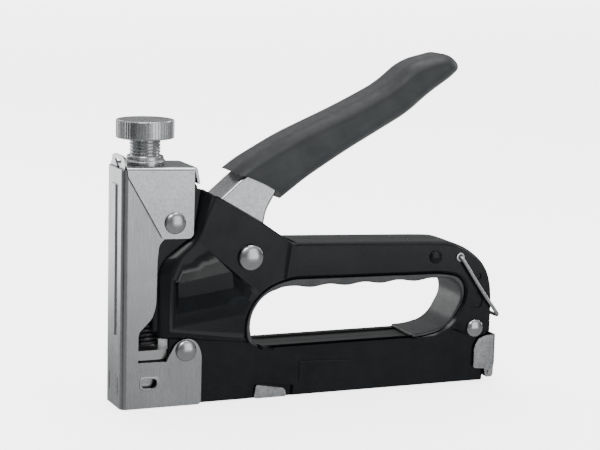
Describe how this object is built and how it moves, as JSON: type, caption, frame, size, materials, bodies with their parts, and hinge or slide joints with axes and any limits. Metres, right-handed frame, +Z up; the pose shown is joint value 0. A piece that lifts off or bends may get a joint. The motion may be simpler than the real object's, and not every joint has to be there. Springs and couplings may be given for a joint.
{
  "type": "staple gun",
  "caption": "Hand staple gun with a squeeze lever, driver-force knob, rear-loading staple rail with latch, lined hand hole and wire lever catch.",
  "frame": {"origin": "centre of the bounding box on the flat underside that the tool stands on", "axes": "+X from the nose to the rear, +Y to the tool's right side, +Z up"},
  "size_m": [0.1656, 0.0282, 0.1379],
  "materials": {
    "black_paint": "gloss black stoved enamel",
    "chrome": "satin nickel-chrome plate",
    "bright_steel": "zinc-plated steel",
    "spring_steel": "oiled dark spring steel",
    "grip_plastic": "satin moulded plastic",
    "sleeve_rubber": "soft dark grey dipped vinyl"
  },
  "bodies": {
    "body": {"shell_left": "black_paint", "shell_right": "black_paint", "nose_cover": "chrome", "guide_plate": "bright_steel", "top_cap": "chrome", "tension_nut": "chrome", "bumper": "grip_plastic", "grip_insert": "grip_plastic", "magazine_channel": "bright_steel", "staple_strip": "bright_steel", "cap_rivet": "chrome", "nose_rivet": "chrome", "lever_rivet": "chrome", "rear_rivet": "chrome", "bar_rivet": "black_paint", "lever_bush": "bright_steel", "lever_spring": "spring_steel", "bail_eyelet_left": "bright_steel", "bail_eyelet_right": "bright_steel", "main_spring": "spring_steel"},
    "lever": {"lever_channel": "chrome", "lever_sleeve": "sleeve_rubber", "lifter_pin": "bright_steel"},
    "lifter": {"lifter": "bright_steel"},
    "hammer": {"hammer_frame": "bright_steel", "driver_blade": "bright_steel", "blade_rivet": "bright_steel"},
    "spring_seat": {"spring_seat": "bright_steel"},
    "knob": {"tension_knob": "chrome"},
    "feed_rail": {"feed_rail": "bright_steel", "guide_rod": "bright_steel", "latch_pin": "bright_steel", "feed_spring": "bright_steel"},
    "rear_latch": {"rear_latch": "chrome"},
    "pusher": {"pusher": "bright_steel"},
    "bail": {"bail": "bright_steel"}
  },
  "joints": [
    {"name": "lever_squeeze", "type": "hinge", "parent": "body", "child": "lever", "pos_m": [-0.02939, 0, 0.0584], "axis": [0, 1, 0], "range_deg": [0, 35.5], "stiffness_Nm_per_rad": 0.6, "springref_deg": -17.19},
    {"name": "lifter_turn", "type": "hinge", "parent": "lever", "child": "lifter", "pos_m": [-0.05225, 0, 0.05108], "axis": [0, 1, 0], "range_deg": [-35.6, 0]},
    {"name": "hammer_lift", "type": "slide", "parent": "body", "child": "hammer", "axis": [0, 0, 1], "range_m": [0, 0.0147], "deforming": ["main_spring"]},
    {"name": "seat_travel", "type": "slide", "parent": "body", "child": "spring_seat", "axis": [0, 0, -1], "range_m": [0, 0.00562]},
    {"name": "knob_turn", "type": "hinge", "parent": "spring_seat", "child": "knob", "pos_m": [-0.07009, 0, 0.1], "axis": [0, 0, -1], "range_deg": [0, 1621]},
    {"name": "rail_slide", "type": "slide", "parent": "body", "child": "feed_rail", "axis": [1, 0, 0], "range_m": [0, 0.095]},
    {"name": "latch_swing", "type": "hinge", "parent": "feed_rail", "child": "rear_latch", "pos_m": [0.08011, 0, 0.0038], "axis": [0, 1, 0], "range_deg": [0, 38]},
    {"name": "pusher_slide", "type": "slide", "parent": "feed_rail", "child": "pusher", "axis": [1, 0, 0], "range_m": [0, 0.055], "stiffness_N_per_m": 30, "springref_m": -0.03, "deforming": ["feed_spring"]},
    {"name": "bail_swing", "type": "hinge", "parent": "body", "child": "bail", "pos_m": [0.06361, 0, 0.054], "axis": [0, -1, 0], "range_deg": [0, 78]}
  ],
  "couplings": [
    {"joint": "lifter_turn", "follows": "lever_squeeze", "ratio": -1},
    {"joint": "hammer_lift", "follows": "lever_squeeze", "m_per_rad": 0.023618},
    {"joint": "knob_turn", "follows": "seat_travel", "rad_per_m": 5026.6}
  ]
}
